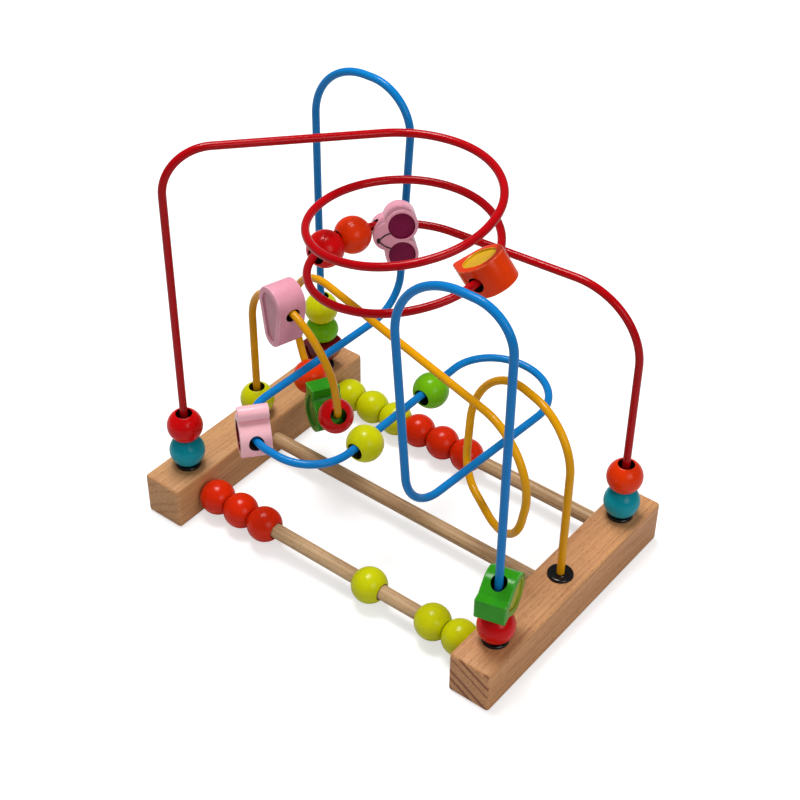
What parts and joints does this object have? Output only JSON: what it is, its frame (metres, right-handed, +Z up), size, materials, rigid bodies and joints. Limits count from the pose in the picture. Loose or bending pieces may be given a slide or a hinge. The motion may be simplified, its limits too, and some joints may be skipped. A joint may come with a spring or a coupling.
{
  "type": "bead maze",
  "caption": "Wooden bead maze: two feet joined by dowels carry bent coated wires, with drilled beads and fruit shapes that slide along wires and dowels.",
  "frame": {"origin": "middle of the base, on the surface that the feet stand on", "axes": "+X from the left foot to the right foot, +Y from front to back, +Z up"},
  "size_m": [0.285, 0.193, 0.2827],
  "materials": {
    "beech": "sanded, clear lacquer",
    "dowel": "turned and sanded",
    "red_wire": "glossy coating",
    "yellow_wire": "glossy coating",
    "blue_wire": "glossy coating",
    "bushing": "glossy",
    "scarlet_bead": "gloss paint",
    "yellow_bead": "gloss paint",
    "red_bead": "gloss paint",
    "teal_bead": "gloss paint",
    "lime_bead": "gloss paint",
    "orange_bead": "gloss paint",
    "pink_fruit": "gloss paint",
    "orange_fruit": "gloss paint",
    "green_fruit": "gloss paint",
    "crimson_fruit": "gloss paint"
  },
  "bodies": {
    "frame": {"left_foot": "beech", "right_foot": "beech", "front_dowel": "dowel", "middle_dowel": "dowel", "rear_dowel": "dowel", "coil_wire": "red_wire", "looped_wire": "yellow_wire", "winding_wire": "blue_wire", "left_front_bushing": "bushing", "left_middle_bushing": "bushing", "left_rear_bushing": "bushing", "right_front_bushing": "bushing", "right_middle_bushing": "bushing", "right_rear_bushing": "bushing"},
    "front_bead_1": {"front_bead_1": "scarlet_bead"},
    "front_bead_2": {"front_bead_2": "scarlet_bead"},
    "front_bead_3": {"front_bead_3": "scarlet_bead"},
    "front_bead_4": {"front_bead_4": "yellow_bead"},
    "front_bead_6": {"front_bead_6": "yellow_bead"},
    "front_bead_5": {"front_bead_5": "yellow_bead"},
    "rear_bead_1": {"rear_bead_1": "yellow_bead"},
    "rear_bead_2": {"rear_bead_2": "yellow_bead"},
    "rear_bead_3": {"rear_bead_3": "yellow_bead"},
    "rear_bead_4": {"rear_bead_4": "scarlet_bead"},
    "rear_bead_5": {"rear_bead_5": "scarlet_bead"},
    "rear_bead_6": {"rear_bead_6": "scarlet_bead"},
    "coil_left_teal_bead": {"coil_left_teal_bead": "teal_bead"},
    "coil_left_red_bead": {"coil_left_red_bead": "red_bead"},
    "coil_right_teal_bead": {"coil_right_teal_bead": "teal_bead"},
    "coil_right_orange_bead": {"coil_right_orange_bead": "orange_bead"},
    "coil_orange_bead": {"coil_orange_bead": "orange_bead"},
    "coil_red_bead": {"coil_red_bead": "red_bead"},
    "cherry_piece": {"cherry_piece": "pink_fruit"},
    "orange_piece": {"orange_piece": "orange_fruit"},
    "loop_lime_bead": {"loop_lime_bead": "yellow_bead"},
    "loop_plum_piece": {"loop_plum_piece": "pink_fruit"},
    "loop_red_bead": {"loop_red_bead": "red_bead"},
    "loop_pear_piece": {"loop_pear_piece": "green_fruit"},
    "loop_orange_bead": {"loop_orange_bead": "orange_bead"},
    "strawberry_piece": {"strawberry_piece": "crimson_fruit"},
    "post_lime_bead": {"post_lime_bead": "lime_bead"},
    "post_yellow_bead": {"post_yellow_bead": "yellow_bead"},
    "return_apple_piece": {"return_apple_piece": "pink_fruit"},
    "run_yellow_bead": {"run_yellow_bead": "yellow_bead"},
    "run_lime_bead": {"run_lime_bead": "lime_bead"},
    "post_red_bead": {"post_red_bead": "red_bead"},
    "post_pear_piece": {"post_pear_piece": "green_fruit"}
  },
  "joints": [
    {"name": "front_bead_1_travel", "type": "slide", "parent": "frame", "child": "front_bead_1", "axis": [1, 0, 0], "range_m": [0, 0.01]},
    {"name": "front_bead_2_travel", "type": "slide", "parent": "front_bead_1", "child": "front_bead_2", "axis": [1, 0, 0], "range_m": [0, 0.015]},
    {"name": "front_bead_3_travel", "type": "slide", "parent": "front_bead_2", "child": "front_bead_3", "axis": [1, 0, 0], "range_m": [0, 0.02]},
    {"name": "front_bead_4_travel", "type": "slide", "parent": "frame", "child": "front_bead_4", "axis": [1, 0, 0], "range_m": [-0.022, 0.012]},
    {"name": "front_bead_6_travel", "type": "slide", "parent": "frame", "child": "front_bead_6", "axis": [1, 0, 0], "range_m": [-0.006, 0]},
    {"name": "front_bead_5_travel", "type": "slide", "parent": "front_bead_6", "child": "front_bead_5", "axis": [1, 0, 0], "range_m": [-0.009, 0]},
    {"name": "rear_bead_1_travel", "type": "slide", "parent": "frame", "child": "rear_bead_1", "axis": [1, 0, 0], "range_m": [0, 0.015]},
    {"name": "rear_bead_2_travel", "type": "slide", "parent": "rear_bead_1", "child": "rear_bead_2", "axis": [1, 0, 0], "range_m": [0, 0.015]},
    {"name": "rear_bead_3_travel", "type": "slide", "parent": "rear_bead_2", "child": "rear_bead_3", "axis": [1, 0, 0], "range_m": [0, 0.015]},
    {"name": "rear_bead_4_travel", "type": "slide", "parent": "rear_bead_3", "child": "rear_bead_4", "axis": [1, 0, 0], "range_m": [0, 0.015]},
    {"name": "rear_bead_5_travel", "type": "slide", "parent": "rear_bead_4", "child": "rear_bead_5", "axis": [1, 0, 0], "range_m": [0, 0.015]},
    {"name": "rear_bead_6_travel", "type": "slide", "parent": "rear_bead_5", "child": "rear_bead_6", "axis": [1, 0, 0], "range_m": [0, 0.015]},
    {"name": "coil_left_teal_bead_travel", "type": "slide", "parent": "frame", "child": "coil_left_teal_bead", "axis": [0, 0, 1], "range_m": [0, 0.06]},
    {"name": "coil_left_red_bead_travel", "type": "slide", "parent": "coil_left_teal_bead", "child": "coil_left_red_bead", "axis": [0, 0, 1], "range_m": [0, 0.06]},
    {"name": "coil_right_teal_bead_travel", "type": "slide", "parent": "frame", "child": "coil_right_teal_bead", "axis": [0, 0, 1], "range_m": [0, 0.03]},
    {"name": "coil_right_orange_bead_travel", "type": "slide", "parent": "coil_right_teal_bead", "child": "coil_right_orange_bead", "axis": [0, 0, 1], "range_m": [0, 0.03]},
    {"name": "coil_orange_bead_travel", "type": "hinge", "parent": "frame", "child": "coil_orange_bead", "pos_m": [-0.00135, 0, 0.20827], "axis": [0.0779, -0.0235, -0.9967], "range_deg": [-15, 0]},
    {"name": "coil_red_bead_travel", "type": "hinge", "parent": "coil_orange_bead", "child": "coil_red_bead", "pos_m": [-0.00146, -0.00041, 0.21022], "axis": [0.1122, -0.02, -0.9935], "range_deg": [-25, 0]},
    {"name": "cherry_piece_travel", "type": "hinge", "parent": "frame", "child": "cherry_piece", "pos_m": [-0.00059, 0.00111, 0.20225], "axis": [-0.0121, 0.0188, -0.9997], "range_deg": [0, 30]},
    {"name": "orange_piece_travel", "type": "hinge", "parent": "frame", "child": "orange_piece", "pos_m": [0.00108, 0.00117, 0.22661], "axis": [0.0262, 0.1384, -0.99], "range_deg": [-45, 30]},
    {"name": "loop_lime_bead_travel", "type": "slide", "parent": "frame", "child": "loop_lime_bead", "axis": [0, 0, 1], "range_m": [0, 0.045]},
    {"name": "loop_plum_piece_travel", "type": "hinge", "parent": "frame", "child": "loop_plum_piece", "pos_m": [-0.08117, -0.00525, 0.11088], "axis": [0.2825, 0.9363, 0.2088], "range_deg": [0, 20]},
    {"name": "loop_red_bead_travel", "type": "hinge", "parent": "frame", "child": "loop_red_bead", "pos_m": [-0.06716, 0.0004, 0.08996], "axis": [0.4631, 0.8695, 0.1718], "range_deg": [-40, 0]},
    {"name": "loop_pear_piece_travel", "type": "slide", "parent": "frame", "child": "loop_pear_piece", "axis": [-0.8624, 0.4868, -0.1391], "range_m": [-0.001, 0.0004]},
    {"name": "loop_orange_bead_travel", "type": "hinge", "parent": "frame", "child": "loop_orange_bead", "pos_m": [-0.08329, 0.01215, 0.09961], "axis": [0.4842, 0.8733, 0.0545], "range_deg": [0, 45]},
    {"name": "strawberry_piece_travel", "type": "slide", "parent": "frame", "child": "strawberry_piece", "axis": [0, 0, 1], "range_m": [0, 0.035]},
    {"name": "post_lime_bead_travel", "type": "slide", "parent": "strawberry_piece", "child": "post_lime_bead", "axis": [0, 0, 1], "range_m": [0, 0.035]},
    {"name": "post_yellow_bead_travel", "type": "slide", "parent": "post_lime_bead", "child": "post_yellow_bead", "axis": [0, 0, 1], "range_m": [0, 0.035]},
    {"name": "return_apple_piece_travel", "type": "hinge", "parent": "frame", "child": "return_apple_piece", "pos_m": [-0.03935, -0.05215, 0.10418], "axis": [0.053, -0.0962, 0.9939], "range_deg": [-40, 30]},
    {"name": "run_yellow_bead_travel", "type": "slide", "parent": "frame", "child": "run_yellow_bead", "axis": [0, 1, 0], "range_m": [0, 0.025]},
    {"name": "run_lime_bead_travel", "type": "slide", "parent": "frame", "child": "run_lime_bead", "axis": [0, 1, 0], "range_m": [-0.02, 0.01]},
    {"name": "post_red_bead_travel", "type": "slide", "parent": "frame", "child": "post_red_bead", "axis": [0, 0, 1], "range_m": [0, 0.05]},
    {"name": "post_pear_piece_travel", "type": "slide", "parent": "post_red_bead", "child": "post_pear_piece", "axis": [0, 0, 1], "range_m": [0, 0.05]}
  ]
}
